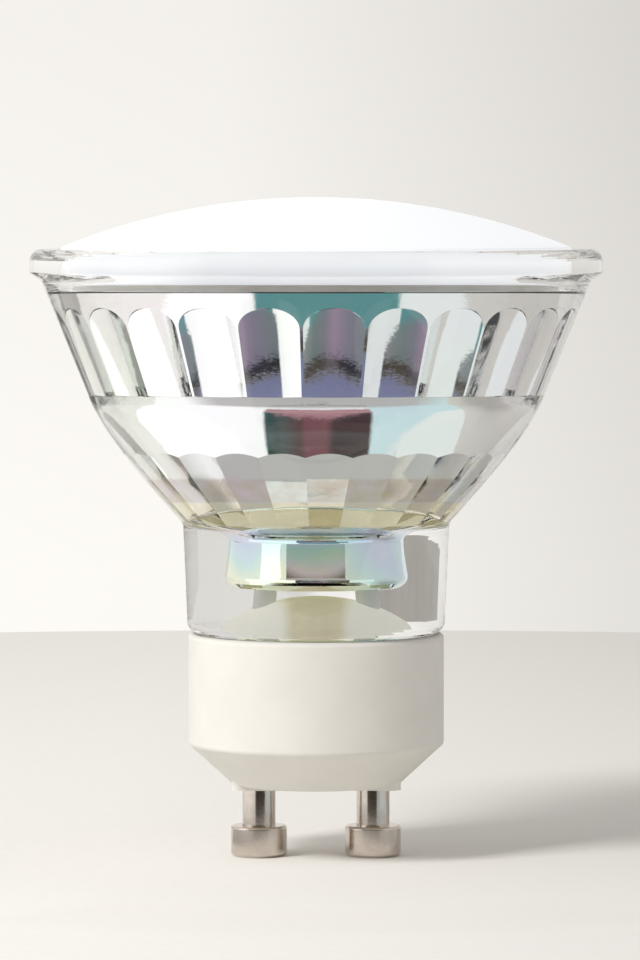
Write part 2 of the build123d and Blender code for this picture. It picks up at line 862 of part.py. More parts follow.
# The fusible resistor stands along the back of the board, between its two bent wires
resistor_radius = resistor_diameter / 2
resistor_y = back_face + resistor_gap + resistor_radius
resistor_half = resistor_length / 2
resistor_plane = Plane(origin=(0, resistor_y, resistor_height), x_dir=(1, 0, 0), z_dir=(0, -1, 0))
with BuildPart() as fusible_resistor:
    with BuildSketch(resistor_plane):
        Polygon(
            (0, -resistor_half),
            (resistor_radius, -resistor_half),
            (resistor_radius, resistor_collar - resistor_half),
            (resistor_radius - resistor_waist, resistor_collar + resistor_waist - resistor_half),
            (resistor_radius - resistor_waist, resistor_half - resistor_collar - resistor_waist),
            (resistor_radius, resistor_half - resistor_collar),
            (resistor_radius, resistor_half),
            (0, resistor_half),
            align=None,
        )
    revolve(axis=Axis((0, resistor_y, 0), (0, 0, 1)))
    for way in (-1, 1):
        wire_height = resistor_height + way * resistor_wire_offset
        sweep_round(
            wire_radius,
            (
                (0, resistor_y, resistor_height + way * (resistor_half - wire_stub)),
                (0, resistor_y, wire_height),
                (0, front_face - wire_stub, wire_height),
            ),
            wire_diameter,
        )
save(fusible_resistor, "fusible_resistor")
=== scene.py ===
import math

import bmesh
import bpy
import numpy as np
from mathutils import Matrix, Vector


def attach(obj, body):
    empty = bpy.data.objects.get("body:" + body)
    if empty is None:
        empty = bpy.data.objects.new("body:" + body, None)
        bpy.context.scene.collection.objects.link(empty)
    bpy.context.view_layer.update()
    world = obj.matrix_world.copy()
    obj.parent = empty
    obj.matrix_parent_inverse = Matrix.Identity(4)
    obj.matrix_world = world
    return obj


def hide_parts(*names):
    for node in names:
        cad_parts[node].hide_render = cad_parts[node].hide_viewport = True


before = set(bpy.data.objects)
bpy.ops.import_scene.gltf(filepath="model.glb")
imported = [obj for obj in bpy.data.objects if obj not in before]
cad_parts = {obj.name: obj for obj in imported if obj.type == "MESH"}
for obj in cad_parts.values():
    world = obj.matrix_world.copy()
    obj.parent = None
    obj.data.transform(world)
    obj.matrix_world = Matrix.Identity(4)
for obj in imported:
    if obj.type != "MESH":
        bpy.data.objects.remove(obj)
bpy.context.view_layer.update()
MM = 0.001
scene = bpy.context.scene

# Camera: a long lens, almost level, a little above the dome
CAMERA_PLACE, CAMERA_DIP = (0.35, -475, 57.8), 2.99
camera = bpy.data.objects.new("camera", bpy.data.cameras.new("camera"))
scene.collection.objects.link(camera)
camera.data.lens = 203.96
camera.data.sensor_width = 36
camera.data.clip_start = 0.02
camera.data.clip_end = 20
camera.location = [part * MM for part in CAMERA_PLACE]
camera.rotation_euler = (math.radians(90 - CAMERA_DIP), 0, 0)
scene.camera = camera
scene.view_settings.view_transform = "Standard"

# Light crosses many faces of the pressed glass
scene.cycles.max_bounces = 24
scene.cycles.glossy_bounces = 16
scene.cycles.transmission_bounces = 20


class Nodes:
    """A small helper that adds nodes to one tree and links them."""

    def __init__(self, tree):
        self.tree = tree
        tree.nodes.clear()

    def set_input(self, socket, value):
        if isinstance(value, bpy.types.NodeSocket):
            self.tree.links.new(value, socket)
        elif isinstance(value, tuple) and len(value) == 3 and socket.type == "RGBA":
            socket.default_value = (*value, 1)
        else:
            socket.default_value = value

    def add(self, kind, inputs=None, **settings):
        node = self.tree.nodes.new(kind)
        for key, value in settings.items():
            setattr(node, key, value)
        for key, value in (inputs or {}).items():
            self.set_input(node.inputs[key], value)
        return node

    def math(self, operation, a, b=0.0, clamp=False):
        node = self.add("ShaderNodeMath", {0: a, 1: b}, operation=operation, use_clamp=clamp)
        return node.outputs[0]

    def ramp(self, value, stops, smooth="LINEAR"):
        node = self.tree.nodes.new("ShaderNodeValToRGB")
        node.color_ramp.interpolation = smooth
        marks = node.color_ramp.elements
        while len(marks) < len(stops):
            marks.new(0.5)
        for mark, (place, colour) in zip(marks, stops):
            mark.position = place
            mark.color = (*colour, 1)
        self.set_input(node.inputs[0], value)
        return node.outputs[0]

    def between(self, value, low, high):
        inputs = {"Value": value, "From Min": low, "From Max": high}
        return self.add("ShaderNodeMapRange", inputs, clamp=True).outputs[0]

    def mix(self, factor, a, b, blend="MIX"):
        inputs = {0: factor, 6: a, 7: b}
        return self.add("ShaderNodeMix", inputs, data_type="RGBA", blend_type=blend).outputs[2]

    def noise(self, scale, detail=3.0, roughness=0.5, vector=None, distortion=0.0):
        inputs = {"Scale": scale, "Detail": detail, "Roughness": roughness}
        inputs["Distortion"] = distortion
        if vector is not None:
            inputs["Vector"] = vector
        return self.add("ShaderNodeTexNoise", inputs).outputs[0]

    def bump(self, height, strength, distance, normal=None):
        inputs = {"Height": height, "Strength": strength, "Distance": distance}
        if normal is not None:
            inputs["Normal"] = normal
        return self.add("ShaderNodeBump", inputs).outputs[0]

    def place(self):
        return self.add("ShaderNodeTexCoord").outputs["Object"]

    def axes(self, vector):
        return self.add("ShaderNodeSeparateXYZ", {"Vector": vector}).outputs

    def finish(self, inputs):
        shader = self.add("ShaderNodeBsdfPrincipled", inputs)
        self.add("ShaderNodeOutputMaterial", {"Surface": shader.outputs[0]})


def srgb(red, green, blue):
    """Linear colour from 8-bit sRGB values."""
    out = []
    for value in (red, green, blue):
        value /= 255
        out.append(value / 12.92 if value <= 0.04045 else ((value + 0.055) / 1.055) ** 2.4)
    return tuple(out)


def new_material(name):
    material = bpy.data.materials.new(name)
    material.use_nodes = True
    return material, Nodes(material.node_tree)


# Sizes of the glass in millimetres, after the part's own
FLUTES = 24
HALF = math.radians(180 / FLUTES)
FLUTE_TURN = math.radians(4.2 - 90)
SPIGOT_FOOT, CAP_TOP, NECK_TOP, BOWL_TOP = 15.5, 19.6, 29.3, 40.0
CONE_TOP, RIM_FOOT, RIM_TOP, POCKET_FLOOR = 50.35, 51.12, 53.2, 50.0
SPIGOT_RADIUS, SHOULDER_RADIUS, NECK_RADIUS, BOWL_RADIUS = 9.2, 11.25, 11.67, 19.75
CONE_TOP_RADIUS, RIM_RADIUS, POCKET_RADIUS = 23.94, 25.0, 22.4
SLOPE = (CONE_TOP_RADIUS - BOWL_RADIUS) / (CONE_TOP - BOWL_TOP)
STRETCH = math.hypot(1, SLOPE)
CONE_WALL = 2.0
FLUTE_FOOT, ARCH_SPRING, ARCH_RISE, LEDGE_FOOT = 41.2, 46.95, 1.8, 40.4
RIB_RADIUS, FLUTE_LAND = 13.5, 0.25
# The cone leans in by this much of its height above the foot of the arches
CONE_LEAN = 0.035
LEDGE_RADIUS, LEDGE_WIDTH = 17.05, 0.55
FACET_LEVELS = (36.6, 34.4, 32.5, 30.2)
FACET_RADII = (15.0, 13.1, 11.3, 9.25)
BAND_SLOPE = (LEDGE_RADIUS - FACET_RADII[0]) / (LEDGE_FOOT - FACET_LEVELS[0])
ROW_SLOPE = (FACET_RADII[0] - FACET_RADII[1]) / (FACET_LEVELS[0] - FACET_LEVELS[1])
FUNNEL_TOP_RADIUS, FUNNEL_FOOT, BORE_RADIUS = 9.15, 28.6, 5.1
BORE_FLARE, BORE_FLOOR = 0.45, 23.8
RECESS_RADIUS, RECESS_EDGE, RECESS_TOP = 5.7, 20.2, 23.25
# The cement shows at the glass itself, so the recess is wider than the cement by this much
CONTACT = 0.03


def inner_cone(height):
    lean = CONE_LEAN * np.maximum(0, height - ARCH_SPRING)
    return BOWL_RADIUS + SLOPE * (height - BOWL_TOP) - CONE_WALL * STRETCH - lean


def flute_half_width(cone_radius):
    return cone_radius * math.sin(HALF) - FLUTE_LAND / 2


def crest_radius(cone_radius):
    half_width = flute_half_width(cone_radius)
    rise = RIB_RADIUS - math.sqrt(RIB_RADIUS**2 - half_width**2)
    return math.sqrt(cone_radius**2 - half_width**2) - rise * STRETCH


crest_foot = crest_radius(inner_cone(FLUTE_FOOT))
crest_top = crest_radius(inner_cone(ARCH_SPRING))
crest_slope = (crest_top - crest_foot) / (ARCH_SPRING - FLUTE_FOOT)
crest_stretch = math.hypot(1, crest_slope)
arch_half_width = flute_half_width(inner_cone(ARCH_SPRING))

# Angles of one flute's columns: its two edges, the points between them, and the land beside it
COLUMNS = 16
edge_angle = math.asin(arch_half_width / inner_cone(ARCH_SPRING))
angles = np.append(-edge_angle * np.cos(np.pi * np.linspace(0, 1, COLUMNS)), HALF)
ones = np.ones(len(angles))


def flute_radius(height):
    """Radius of the rib at a height and each angle, or of the cone where that is less."""
    reach = crest_foot + crest_slope * (height - FLUTE_FOOT) + RIB_RADIUS * crest_stretch
    a = np.cos(angles) ** 2 / crest_stretch**2 + np.sin(angles) ** 2
    b = -2 * reach * np.cos(angles) / crest_stretch**2
    c = reach**2 / crest_stretch**2 - RIB_RADIUS**2
    rib = (-b - np.sqrt(np.maximum(b * b - 4 * a * c, 0))) / (2 * a)
    return np.minimum(rib, inner_cone(height))


across = np.clip(inner_cone(ARCH_SPRING) * np.sin(angles) / arch_half_width, -1, 1)
arch_line = ARCH_SPRING + ARCH_RISE * np.sqrt(1 - across**2)


def rounded(before, corner, after, radius, count):
    """Points of an arc that rounds a corner between two straight runs."""
    b, c, a = Vector(before), Vector(corner), Vector(after)
    u, v = (b - c).normalized(), (a - c).normalized()
    half = u.angle(v) / 2
    start, end = c + u * radius / math.tan(half), c + v * radius / math.tan(half)
    centre = c + (u + v).normalized() * (radius / math.sin(half))
    spokes = [start.lerp(end, k / count) - centre for k in range(count + 1)]
    return [tuple(centre + spoke.normalized() * radius) for spoke in spokes]


def spaced(points, step):
    """The points of a profile, with more on its long straight runs."""
    out = [points[0]]
    for a, b in zip(points, points[1:]):
        count = max(1, math.ceil(math.dist(a, b) / step))
        out += [tuple(Vector(a).lerp(Vector(b), k / count)) for k in range(1, count + 1)]
    return out


def bowl_point(share):
    """A point of the curve that joins the neck to the cone."""
    foot_angle, foot_pull, top_pull = math.radians(47.5), 7.5, 2.25
    foot, top = Vector((NECK_RADIUS, NECK_TOP)), Vector((BOWL_RADIUS, BOWL_TOP))
    rise = Vector((math.cos(foot_angle), math.sin(foot_angle)))
    drop = Vector((SLOPE, 1)) / STRETCH
    corners = [foot, foot + rise * foot_pull, top - drop * top_pull, top]
    while len(corners) > 1:
        corners = [a.lerp(b, share) for a, b in zip(corners, corners[1:])]
    return tuple(corners[0])


def outer_profile():
    """The outside of the glass, from the spigot's foot up to the top of the rim."""
    shoulder = (SHOULDER_RADIUS, CAP_TOP)
    neck = (NECK_RADIUS, NECK_TOP)
    cone_top = (CONE_TOP_RADIUS, CONE_TOP)
    rim_foot, rim_top = (RIM_RADIUS, RIM_FOOT), (RIM_RADIUS, RIM_TOP)
    points = [(SPIGOT_RADIUS, SPIGOT_FOOT), (SPIGOT_RADIUS, CAP_TOP)]
    points += rounded((SPIGOT_RADIUS, CAP_TOP), shoulder, neck, 1.1, 8)
    points += rounded(shoulder, neck, bowl_point(0.1), 1.0, 6)
    points += [bowl_point(k / 36) for k in range(2, 37)]
    points += rounded((BOWL_RADIUS, BOWL_TOP), cone_top, rim_foot, 1.0, 5)
    points += rounded(cone_top, rim_foot, rim_top, 0.3, 4)
    points += rounded(rim_foot, rim_top, (POCKET_RADIUS, RIM_TOP), 1.1, 8)
    points += rounded(rim_top, (POCKET_RADIUS, RIM_TOP), (POCKET_RADIUS, POCKET_FLOOR), 0.2, 3)
    points += [(POCKET_RADIUS, POCKET_FLOOR)]
    return spaced(points, 0.5)


def stem_profile():
    """The funnel, the flared bore and its floor, down to the axis."""
    foot = (BORE_RADIUS, FUNNEL_FOOT)
    points = [(FUNNEL_TOP_RADIUS, FACET_LEVELS[-1])]
    points += rounded(points[0], foot, (BORE_RADIUS, BORE_FLOOR), 1.0, 7)
    depth = FUNNEL_FOOT - BORE_FLOOR
    flare_radius = (BORE_FLARE**2 + depth**2) / (2 * BORE_FLARE)
    for k in range(2, 10):
        drop = depth * k / 12
        radius = BORE_RADIUS + flare_radius - math.sqrt(flare_radius**2 - drop**2)
        points.append((radius, FUNNEL_FOOT - drop))
    points += rounded(points[-1], (BORE_RADIUS + BORE_FLARE, BORE_FLOOR), (0, BORE_FLOOR), 1.0, 7)
    return spaced(points + [(0, BORE_FLOOR)], 0.5)


def recess_profile():
    """The domed recess that the cement fills, from the axis down to the spigot's foot."""
    rise = RECESS_TOP - RECESS_EDGE
    sphere = (RECESS_RADIUS**2 + rise**2) / (2 * rise)
    points = []
    for k in range(17):
        radius = (RECESS_RADIUS + CONTACT) * k / 16
        reach = sphere + CONTACT
        points.append((radius, RECESS_TOP - sphere + math.sqrt(reach**2 - radius**2)))
    return spaced(points + [(RECESS_RADIUS + CONTACT, SPIGOT_FOOT)], 0.7)


# Rings of the mesh, each with its radius and height at every angle, and its material zone
CLEAR, COAT, CEMENT = 0, 1, 2
ARCH_ROWS, FLUTE_ROWS, BAND_ROWS, LEDGE_ROWS, FACET_ROWS = 7, 30, 10, 4, 4
rings = [(r * ones, z * ones, CLEAR if z > CAP_TOP else CEMENT) for r, z in outer_profile()]
for k in range(ARCH_ROWS + 1):
    z = POCKET_FLOOR + (arch_line - POCKET_FLOOR) * (k / ARCH_ROWS)
    rings.append((inner_cone(z), z, COAT))
for k in range(FLUTE_ROWS + 1):
    share = k / FLUTE_ROWS
    share = 0.4 * share + 0.6 * (1 - math.cos(math.pi / 2 * share))
    z = arch_line + (FLUTE_FOOT - arch_line) * share
    rings.append((flute_radius(z), z, COAT))
for k in range(LEDGE_ROWS + 1):
    z = FLUTE_FOOT + (LEDGE_FOOT - FLUTE_FOOT) * k / LEDGE_ROWS
    rings.append(((LEDGE_RADIUS + LEDGE_WIDTH * (1 - k / LEDGE_ROWS)) * ones, z * ones, COAT))
drop = FACET_RADII[0] * (1 / np.cos(angles) - 1) / (ROW_SLOPE / np.cos(angles) - BAND_SLOPE)
upper = FACET_LEVELS[0] - drop
for k in range(1, BAND_ROWS + 1):
    z = LEDGE_FOOT + (upper - LEDGE_FOOT) * (k / BAND_ROWS)
    rings.append((LEDGE_RADIUS - BAND_SLOPE * (LEDGE_FOOT - z), z, COAT))
for level, radius, top_level, top_radius in zip(
    FACET_LEVELS[1:], FACET_RADII[1:], FACET_LEVELS, FACET_RADII
):
    for k in range(1, FACET_ROWS + 1):
        z = upper + (level - upper) * (k / FACET_ROWS)
        share = (z - level) / (top_level - level)
        rings.append(((radius + share * (top_radius - radius)) / np.cos(angles), z, COAT))
    upper = level * ones
rings += [(r * ones, z * ones, COAT) for r, z in stem_profile()]
recess_start = len(rings)
rings += [(r * ones, z * ones, CEMENT) for r, z in recess_profile()]


def ring_mesh(name, rings, split):
    """A closed mesh of rings. The rings before and after the split don't join each other."""
    mesh = bpy.data.meshes.new(name)
    columns = FLUTES * len(angles)
    points = []
    for radius, height, zone in rings:
        for flute in range(FLUTES):
            azimuth = FLUTE_TURN + flute * 2 * HALF + angles
            points.append(
                np.stack([radius * np.cos(azimuth), radius * np.sin(azimuth), height], axis=1)
            )
    faces, zones = [], []
    for i in range(len(rings)):
        j = (i + 1) % len(rings)
        if j == split:
            continue
        for c in range(columns):
            d = (c + 1) % columns
            faces.append((i * columns + c, j * columns + c, j * columns + d, i * columns + d))
            zones.append(rings[i][2] if rings[i][2] == rings[j][2] else CLEAR)
    mesh.from_pydata((np.concatenate(points) * MM).tolist(), [], faces)
    mesh.polygons.foreach_set("material_index", zones)
    return mesh


def finish_mesh(mesh, sharp_angle):
    """Merged points, outward normals, and sharp edges where faces meet at a clear angle."""
    bm = bmesh.new()
    bm.from_mesh(mesh)
    bmesh.ops.remove_doubles(bm, verts=bm.verts, dist=0.002 * MM)
    bmesh.ops.dissolve_degenerate(bm, edges=bm.edges, dist=0.001 * MM)
    bmesh.ops.recalc_face_normals(bm, faces=bm.faces)
    for face in bm.faces:
        face.smooth = True
    for edge in bm.edges:
        if len(edge.link_faces) == 2 and edge.calc_face_angle(0) > math.radians(sharp_angle):
            edge.smooth = False
    bm.to_mesh(mesh)
    bm.free()


mesh = ring_mesh("reflector_glass", rings, recess_start)
finish_mesh(mesh, 9)
glass = bpy.data.objects.new("reflector_glass", mesh)
scene.collection.objects.link(glass)
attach(glass, "root")
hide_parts("glass_reflector")


# Materials
def clear_glass():
    """Pressed glass: clear and faintly green, with a gentle wave and tiny pits."""
    material, n = new_material("clear_glass")
    place = n.place()
    normal = n.bump(n.noise(260, 2.0, 0.5, place, 0.3), 0.25, 0.05 * MM)
    normal = n.bump(n.noise(1500, 2.0, 0.5, place), 0.10, 0.01 * MM, normal)
    n.finish(
        {
            "Base Color": (0.975, 0.982, 0.98),
            "Roughness": 0.0,
            "Transmission Weight": 1.0,
            "IOR": 1.5,
            "Normal": normal,
        }
    )
    return material


def mirror_coating():
    """Thin metal film behind the glass, with faint tints that change over its zones."""
    material, n = new_material("mirror_coating")
    place = n.place()
    x, y, height = n.axes(place)
    cloud = n.noise(110, 2.0, 0.5, place)
    phase = n.math("ADD", n.math("MULTIPLY", cloud, 1.6), n.math("MULTIPLY", height, 70.0))
    phase = n.math("FRACT", phase)
    neck_tint = n.ramp(
        phase,
        [
            (0.0, srgb(250, 232, 242)),
            (0.2, srgb(255, 252, 250)),
            (0.4, srgb(244, 250, 228)),
            (0.6, srgb(214, 242, 242)),
            (0.8, srgb(214, 226, 248)),
            (1.0, srgb(250, 232, 242)),
        ],
    )
    haze = n.between(n.noise(90, 2.0, 0.5, place), 0.35, 0.65)
    tint = n.mix(haze, srgb(240, 238, 242), srgb(240, 244, 240))
    tint = n.mix(n.between(height, 30.0 * MM, 28.5 * MM), tint, neck_tint)
    turn = n.math("SUBTRACT", n.math("ARCTAN2", y, x), FLUTE_TURN + HALF)
    facet = n.math("FLOOR", n.math("MULTIPLY", turn, 1 / (2 * HALF)))
    row = n.math("FLOOR", n.math("MULTIPLY", n.math("SUBTRACT", height, 32.5 * MM), 200.0))
    cell = n.add("ShaderNodeCombineXYZ", {"X": facet, "Y": row})
    chance = n.add("ShaderNodeTexWhiteNoise", {"Vector": cell.outputs[0]}).outputs["Value"]
    patch = n.math("ADD", chance, n.math("MULTIPLY", n.noise(700, 2.0, 0.5, place), 0.3))
    facet_tint = n.ramp(
        n.math("SUBTRACT", patch, 0.15),
        [
            (0.0, srgb(222, 222, 244)),
            (0.2, srgb(206, 192, 176)),
            (0.4, srgb(232, 244, 246)),
            (0.55, srgb(214, 212, 180)),
            (0.75, srgb(248, 226, 244)),
            (1.0, srgb(222, 214, 200)),
        ],
    )
    above = n.between(height, 34.55 * MM, 34.3 * MM)
    middle = n.math("MULTIPLY", above, n.between(height, 32.3 * MM, 32.5 * MM))
    tint = n.mix(n.math("MULTIPLY", middle, 0.75), tint, facet_tint)
    low = n.between(height, 32.5 * MM, 32.3 * MM)
    low = n.math("MULTIPLY", low, n.between(height, 30.0 * MM, 30.2 * MM))
    tint = n.mix(low, tint, srgb(240, 236, 218))
    normal = n.bump(n.noise(420, 2.0, 0.5, place, 0.4), 0.08, 0.03 * MM)
    normal = n.bump(n.noise(2600, 3.0, 0.6, place), 0.12, 0.012 * MM, normal)
    n.finish({"Base Color": tint, "Metallic": 1.0, "Roughness": 0.03, "Normal": normal})
    return material


def opal_dome_painted_glow():
    """Opal plastic that shines with a painted glow, most of all at its skirt inside the rim."""
    material, n = new_material("diffuser_opal_painted_glow")
    place = n.place()
    cloud = n.between(n.noise(60, 3.0, 0.5, place), 0.3, 0.7)
    height = n.axes(place)[2]
    # Painted glow: stronger emission at the skirt inside the rim, standing in for light
    painted_glow_skirt = n.between(height, 53.3 * MM, 53.0 * MM)
    painted_glow_skirt = n.math("MULTIPLY", painted_glow_skirt, n.between(height, 50.6 * MM, 52.6 * MM))
    n.finish(
        {
            "Base Color": n.mix(cloud, srgb(178, 180, 184), srgb(183, 185, 188)),
            "Roughness": 0.35,
            "Normal": n.bump(n.noise(1800, 2.0, 0.5, place), 0.05, 0.01 * MM),
            "Subsurface Weight": 0.3,
            "Subsurface Radius": (0.004, 0.004, 0.004),
            "Subsurface Scale": 1.0,
            # Painted glow: the whole dome shines with its own emission
            "Emission Color": n.mix(painted_glow_skirt, (0.43, 0.44, 0.46), (0.84, 0.85, 0.88)),
            "Emission Strength": 1.0,
        }
    )
    return material


def grained(name, colour, other, scale, roughness, metallic=0.0, bump=0.15, depth=0.02):
    """A plain finish with fine grain: two close colours, uneven gloss and a light bump."""
    material, n = new_material(name)
    place = n.place()
    coarse = n.between(n.noise(scale, 4.0, 0.55, place), 0.3, 0.7)
    fine = n.noise(scale * 7, 3.0, 0.6, place)
    n.finish(
        {
            "Base Color": n.mix(coarse, colour, other),
            "Roughness": n.math("ADD", n.math("MULTIPLY", fine, 0.12), roughness - 0.06),
            "Metallic": metallic,
            "Normal": n.bump(fine, bump, depth * MM),
        }
    )
    return material


def cement_with_painted_glow():
    """Cement that sticks to the glass and is paler to the left and right of its middle, with a painted
    glow in its own colour.
    """
    material, n = new_material("cement_at_glass_painted_glow")
    place = n.place()
    cloud = n.between(n.noise(420, 4.0, 0.55, place), 0.3, 0.7)
    colour = n.mix(cloud, srgb(216, 210, 184), srgb(202, 195, 166))
    side = n.math("ABSOLUTE", n.axes(place)[0])
    colour = n.mix(n.between(side, 1.6 * MM, 2.4 * MM), colour, srgb(232, 231, 222))
    n.finish(
        {
            "Base Color": colour,
            "Roughness": 0.8,
            # Painted glow: emission in the cement's own colour stands in for the light that reaches it
            # through the glass
            "Emission Color": colour,
            "Emission Strength": 0.4,
        }
    )
    return material


cement = grained("cement", srgb(214, 210, 180), srgb(200, 195, 162), 500, 0.75, bump=0.4, depth=0.08)
for material in (clear_glass(), mirror_coating(), cement_with_painted_glow()):
    mesh.materials.append(material)

nickel = grained("contact_nickel", srgb(214, 204, 194), srgb(200, 190, 182), 900, 0.16, 1.0, 0.2)
lead = grained("lead_sleeve", srgb(244, 246, 246), srgb(238, 240, 240), 400, 0.45)
chip = grained("chip_package", srgb(38, 38, 40), srgb(32, 32, 34), 600, 0.55)
diode = grained("diode_package", srgb(236, 214, 120), srgb(228, 204, 104), 900, 0.45)
finishes = {
    "diffuser_dome": opal_dome_painted_glow(),
    "base_cap": grained(
        "cap_ceramic", srgb(224, 221, 214), srgb(219, 216, 209), 250, 0.5, bump=0.12, depth=0.03
    ),
    "contact_pin_left": nickel,
    "contact_pin_right": nickel,
    "cement_ring": cement,
    "cement_plug": cement,
    "led_board": grained("led_board_metal", srgb(238, 236, 232), srgb(226, 222, 212), 400, 0.35),
    "driver_board": grained("circuit_board", srgb(214, 218, 208), srgb(200, 206, 196), 300, 0.45),
    "electrolytic_capacitor": grained("sleeve", srgb(34, 36, 44), srgb(28, 30, 38), 300, 0.35),
    "choke_core": grained("ferrite", srgb(52, 50, 50), srgb(44, 42, 42), 500, 0.6),
    "choke_winding": grained("winding", srgb(176, 96, 46), srgb(150, 78, 38), 700, 0.3, 0.8),
    "film_capacitor": grained("film_case", srgb(150, 60, 36), srgb(138, 54, 32), 300, 0.4),
    "driver_chip": chip,
    "bridge_rectifier": chip,
    "fusible_resistor": grained("resistor", srgb(196, 178, 140), srgb(186, 168, 130), 400, 0.5),
    "mains_lead_left": lead,
    "mains_lead_right": lead,
}
for number in range(1, 9):
    finishes[f"led_{number}"] = diode
for name, material in finishes.items():
    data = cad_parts[name].data
    data.materials.clear()
    data.materials.append(material)


# Stage: a round floor, and glowing cards of painted reflection that only reflections and refractions
# show
def plane_object(name, corners, material):
    data = bpy.data.meshes.new(name)
    points = [tuple(c * MM for c in corner) for corner in corners]
    data.from_pydata(points, [], [tuple(range(len(points)))])
    data.materials.append(material)
    item = bpy.data.objects.new(name, data)
    scene.collection.objects.link(item)
    return item


def floor_paper():
    material, n = new_material("floor_paper")
    grain = n.between(n.noise(900, 3.0, 0.5, n.place()), 0.3, 0.7)
    colour = n.mix(grain, srgb(241, 238, 233), srgb(244, 241, 236))
    # Painted shade: the floor's colour darkens towards the right
    painted_shade_right = n.between(n.axes(n.place())[0], -20 * MM, 90 * MM)
    colour = n.mix(painted_shade_right, colour, srgb(216, 213, 208))
    n.finish({"Base Color": colour, "Roughness": 0.9, "Specular IOR Level": 0.1})
    return material


FLOOR_RADIUS = 248
turns = [2 * math.pi * k / 128 for k in range(128)]
floor_points = [(FLOOR_RADIUS * math.cos(t), FLOOR_RADIUS * math.sin(t), 0) for t in turns]
plane_object("floor", floor_points, floor_paper())


def glow(name, colour_of):
    """A flat material that shines in the colour that a function of its nodes gives."""
    material, n = new_material(name)
    shader = n.add("ShaderNodeEmission", {"Color": colour_of(n), "Strength": 1.0})
    n.add("ShaderNodeOutputMaterial", {"Surface": shader.outputs[0]})
    return material


def painted_reflection_card(name, corners, colour_of):
    """A glowing card of painted reflection that shows only in reflections and through the glass."""
    item = plane_object(name, corners, glow(name, colour_of))
    item.visible_camera = False
    item.visible_diffuse = False
    item.visible_shadow = False
    return item


def polar(n):
    """Distance from the lamp's axis in millimetres, and azimuth in degrees from the front."""
    x, y, z = n.axes(n.place())
    square = n.math("ADD", n.math("MULTIPLY", x, x), n.math("MULTIPLY", y, y))
    distance = n.math("MULTIPLY", n.math("SQRT", square), 1 / MM)
    azimuth = n.math("ARCTAN2", x, n.math("MULTIPLY", y, -1.0))
    return distance, n.math("MULTIPLY", azimuth, math.degrees(1))


def by_azimuth(n, azimuth, stops):
    """A colour ramp whose stops are azimuths from -60 to 60 degrees."""
    marks = [((place + 60) / 120, colour) for place, colour in stops]
    return n.ramp(n.between(azimuth, -60, 60), marks)


def inside(n, value, low, high, edge):
    """1 between two limits and 0 outside them, with soft edges."""
    rise = n.between(value, low - edge, low + edge)
    return n.math("MULTIPLY", rise, n.between(value, high + edge, high - edge))


def painted_floor_reflection_colour(n):
    """Painted reflection: what the mirror shows of the floor, a pale sheet with a dark set of bands in
    front.
    """
    distance, azimuth = polar(n)
    wobble = n.math("SUBTRACT", n.noise(150, 3.0, 0.6, n.place()), 0.5)
    ring = n.math("ADD", distance, n.math("MULTIPLY", wobble, 2.5))
    bow = n.math("MULTIPLY", n.math("MULTIPLY", azimuth, azimuth), 0.0023)
    straight = n.math("SUBTRACT", ring, bow)
    pale = by_azimuth(
        n, azimuth, [(-50, (1.25, 1.25, 1.22)), (-20, (1.1, 1.1, 1.08)), (40, (0.86, 0.89, 0.88))]
    )
    cool = by_azimuth(
        n,
        azimuth,
        [
            (-50, (1.15, 1.15, 1.13)),
            (30, (1.0, 1.0, 1.0)),
            (33.5, (0.66, 0.83, 0.86)),
            (60, (0.62, 0.78, 0.82)),
        ],
    )
    pale = n.mix(n.between(distance, 54, 52), pale, cool)
    # Painted reflection of shaded floor close to the lamp's foot
    near = n.mix(n.between(distance, 30, 36), (0.52, 0.51, 0.49), pale)
    band = by_azimuth(
        n,
        azimuth,
        [
            (-31, srgb(40, 78, 76)),
            (-20, srgb(84, 92, 90)),
            (-10, srgb(88, 70, 68)),
            (-6, srgb(120, 78, 84)),
            (6, srgb(120, 80, 84)),
            (11, srgb(68, 54, 56)),
            (33, srgb(74, 58, 58)),
        ],
    )
    band = n.mix(inside(n, ring, 30, 42.5, 0.6), band, srgb(182, 138, 144))
    band_mask = n.math("MULTIPLY", inside(n, ring, 36, 52, 1), inside(n, azimuth, -31, 33.5, 1.0))
    colour = n.mix(band_mask, near, band)
    grey = by_azimuth(
        n,
        azimuth,
        [
            (-28, srgb(118, 128, 130)),
            (-6, srgb(132, 126, 142)),
            (8, srgb(156, 136, 156)),
            (18, srgb(128, 126, 138)),
            (30, srgb(118, 130, 128)),
            (48, srgb(140, 140, 144)),
        ],
    )
    dark = by_azimuth(
        n,
        azimuth,
        [(-30, srgb(30, 28, 32)), (0, srgb(36, 34, 38)), (8, srgb(96, 92, 96)), (24, srgb(70, 60, 48))],
    )
    violet = n.mix(n.between(straight, 63.4, 64.0), srgb(124, 128, 160), srgb(132, 128, 104))
    flutes = n.mix(n.between(straight, 64.0, 64.3), violet, dark)
    flutes = n.mix(n.between(straight, 65.9, 66.5), flutes, grey)
    teal = n.between(distance, 74.0, 74.8)
    flutes = n.mix(teal, flutes, srgb(96, 148, 150))
    left = n.math("ADD", -31.0, n.math("MULTIPLY", teal, 4.0))
    left = n.between(n.math("SUBTRACT", azimuth, left), -1.0, 1.0)
    right = n.math("SUBTRACT", 51.5, n.math("MULTIPLY", teal, 14.5))
    right = n.between(n.math("SUBTRACT", azimuth, right), 1.0, -1.0)
    flute_mask = n.math("MULTIPLY", left, right)
    flute_mask = n.math("MULTIPLY", flute_mask, n.between(distance, 54, 55))
    return n.mix(flute_mask, colour, flutes)


def sector(near, far, left, right, height):
    """Corners of a flat ring sector about the lamp's axis. Azimuth 0 is in front."""
    turns = [math.radians(left + (right - left) * k / 40) for k in range(41)]
    outer = [(far * math.sin(t), -far * math.cos(t), height) for t in turns]
    return outer + [(near * math.sin(t), -near * math.cos(t), height) for t in reversed(turns)]


painted_reflection_card("floor_painted_reflection", sector(14, 100, -120, 95, 0.2), painted_floor_reflection_colour)
